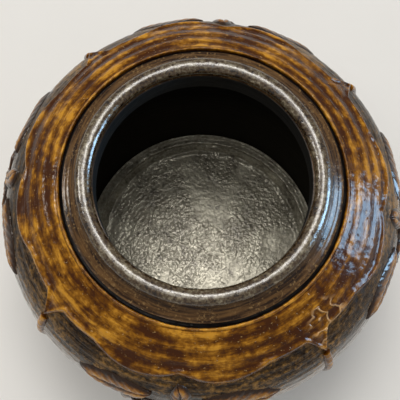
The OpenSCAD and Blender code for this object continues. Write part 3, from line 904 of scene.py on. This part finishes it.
# The spray is four leaves, a bud leaf, a wreath open at the top, and a stem that sways as a sine.
def makePanel(place, degrees):
    turn = math.radians(degrees)
    b, p = blossom, spray
    longer, wider, higher = b["innerScale"]
    flower = petalShells(turn, b["length"], b["width"], b["thickness"], 0.0)
    flower += petalShells(turn, b["length"] * longer, b["width"] * wider, b["thickness"] * higher, 0.5)
    makePiece("blossom_" + place, flower, reliefGlaze)
    makePiece("seed_head_" + place, seedShell(turn), reliefGlaze)
    shells = []
    for side in (1, -1):
        shells += leafShells(turn, side * p["highX"], p["highRise"], p["highTurn"], p["length"], p["width"])
        shells += leafShells(turn, side * p["lowX"], -p["lowDrop"], p["lowTurn"], p["length"], p["width"])
    shells += leafShells(turn, 0, p["budRise"], 0, p["budL"], p["budW"], p["budVeins"], p["budRows"])
    shells += stemShells(turn, arcPath(p["wreathR"], 50, 310, p["wreathRows"], b["z"]), p["stemW"])
    stemTop = b["z"] - p["wreathR"]
    stemZ = np.linspace(stemTop, stemTop - p["stemL"], p["stemRows"])
    shells += stemShells(turn, np.stack([0.5 * np.sin(stemZ / 5), stemZ], axis=1), p["stemW"])
    makePiece("leaf_spray_" + place, shells, reliefGlaze)


# A post is a ridge on the wall at one angle, from the lower band up to the collar's point.
def makePost(name, degrees):
    lean = math.radians(degrees)
    topS = float(lengthAtR(foliateR(np.array([lean])))[0]) + post["intoCollar"]
    s = np.linspace(lengthAtZ(band["topZ"]) - post["belowBand"], topS, post["rows"])[:, None]
    v = acrossSteps(post["columns"])
    h = post["thickness"] * (1 - v**2) ** 0.6 * (1 + 0.05 * np.sin(s * 0.9))
    v, h = tuckUnder(v, h, post["sink"])
    r, z, nr, nz = [value[:, None] for value in wallAt(s[:, 0])]
    across = post["width"] / 2 * v * (1 + 0.06 * np.sin(s * 0.37))
    reach = r + nr * h
    grid = np.stack([math.cos(lean) * reach - math.sin(lean) * across,
                     math.sin(lean) * reach + math.cos(lean) * across, z + nz * h], axis=-1)
    crest = reliefCrest(h, post["crestH"], post["crestDrop"])
    makePiece("post_" + name, [(grid, crest, False, False)], amberGlaze)


for place, degrees in panels.items():
    makePanel(place, degrees)
for name, degrees in corners.items():
    makePost(name, degrees)
print("relief made")

# Stage, light and camera. The studio's and the lamps' lengths are in metres.
studio = dict(cloth=(0.84, 0.835, 0.815), clothRoughness=0.9, weaveSize=60, weaveShade=0.96,
              floorReach=30.0, nearReach=0.45, farReach=1.6, backdrop=(0.78, 0.78, 0.765),
              roomColour=(1.0, 0.98, 0.95), roomLevel=0.36, aim=(0, 0, 0.12))
lamps = {
    "overhead": dict(power=11.5, place=(-0.28, 0.16, 1.75), size=(1.4, 1.4), colour=(1.0, 0.97, 0.92)),
    "key": dict(power=9.5, place=(-0.05, 0.46, 1.7), size=(0.55, 0.55), colour=(1.0, 0.97, 0.93)),
    "window": dict(power=24.0, place=(1.15, 0.16, 0.52), size=(0.5, 0.75), colour=(0.42, 0.70, 1.0)),
    "sparkle": dict(power=4.0, place=(-0.95, 0.12, 0.95), size=(0.2, 0.2), colour=(1.0, 0.96, 0.9)),
}
reflected = ("window", "sparkle")  # only the reflections of these are wanted
view = dict(place=(12.1, -114.2, 611.0), tilt=74.14, roll=1.22, turn=6.07, focal=785.2,
            frameSize=400, axisPixel=(203.0, 177.1), sensor=36.0, clipStart=0.01)

# Far from the jar the camera sees the cloth as evenly pale.
cloth = Finish("paleCloth")
weave = cloth.grain(studio["weaveSize"], 3.0, 0.6)
shade = tuple(c * studio["weaveShade"] for c in studio["cloth"])
cloth.paint(cloth.mix(weave, shade, studio["cloth"]), studio["clothRoughness"])
seen = Reading(cloth, cloth.node("ShaderNodeLightPath").outputs["Is Camera Ray"])
far = cloth.between(cloth.radius(), studio["nearReach"], studio["farReach"])
glow = cloth.node("ShaderNodeEmission", {"Color": (*studio["backdrop"], 1)})
blend = cloth.node("ShaderNodeMixShader", {
    0: seen * far, 1: cloth.shader.outputs["BSDF"], 2: glow.outputs["Emission"]})
cloth.feed(cloth.output.inputs["Surface"], blend.outputs["Shader"])
reach = studio["floorReach"]
groundMesh = bpy.data.meshes.new("ground")
groundMesh.from_pydata([(-reach, -reach, 0), (reach, -reach, 0), (reach, reach, 0), (-reach, reach, 0)], [],
                       [(0, 1, 2, 3)])
groundMesh.materials.append(cloth.material)
ground = newObject("ground", groundMesh)

# The room lights the jar, but the camera sees the backdrop in its place.
world = bpy.data.worlds.new("room")
world.use_nodes = True
room = Graph(world.node_tree)
levels = ((studio["roomColour"], studio["roomLevel"]), (studio["backdrop"], 1.0))
glowing, pale = [room.node("ShaderNodeBackground", {"Color": (*colour, 1), "Strength": level})
                 for colour, level in levels]
either = room.node("ShaderNodeMixShader", {
    0: room.node("ShaderNodeLightPath").outputs["Is Camera Ray"],
    1: glowing.outputs["Background"], 2: pale.outputs["Background"]})
room.node("ShaderNodeOutputWorld", {"Surface": either.outputs["Shader"]})
bpy.context.scene.world = world

for name, lamp in lamps.items():
    light = bpy.data.lights.new(name, "AREA")
    light.shape = "RECTANGLE"
    light.size, light.size_y = lamp["size"]
    light.energy, light.color = lamp["power"], lamp["colour"]
    box = newObject(name, light)
    box.location = lamp["place"]
    aim = Vector(studio["aim"]) - Vector(lamp["place"])
    box.rotation_euler = aim.to_track_quat("-Z", "Y").to_euler()
    box.visible_diffuse = name not in reflected


# The camera stands at view place, in millimetres. The ray through the pixel axisPixel has the
# given tilt and turn, and the camera's own axis is the ray through the frame's middle.
def makeCamera():
    tilt, roll, turn = [math.radians(view[k]) for k in ("tilt", "roll", "turn")]
    forward = Vector((0, math.cos(tilt), -math.sin(tilt)))
    right = Vector((1, 0, 0))
    up = right.cross(forward)
    leanRight = right * math.cos(roll) + up * math.sin(roll)
    leanUp = up * math.cos(roll) - right * math.sin(roll)
    middle = view["frameSize"] / 2
    axis = forward * view["focal"] + leanRight * (middle - view["axisPixel"][0])
    axis -= leanUp * (middle - view["axisPixel"][1])
    axis.normalize()
    up = (leanUp - axis * leanUp.dot(axis)).normalized()
    spin = Matrix.Rotation(turn, 3, "Z")
    axis, up = spin @ axis, spin @ up
    columns = Matrix((axis.cross(up), up, -axis)).transposed()
    data = bpy.data.cameras.new("camera")
    data.sensor_width = view["sensor"]
    data.lens = view["focal"] / view["frameSize"] * view["sensor"]
    data.clip_start = view["clipStart"]
    camera = newObject("camera", data)
    camera.matrix_world = Matrix.Translation(Vector(view["place"]) * mm) @ columns.to_4x4()
    bpy.context.scene.camera = camera


makeCamera()
bpy.context.scene.view_settings.view_transform = "Standard"
print("stage set")
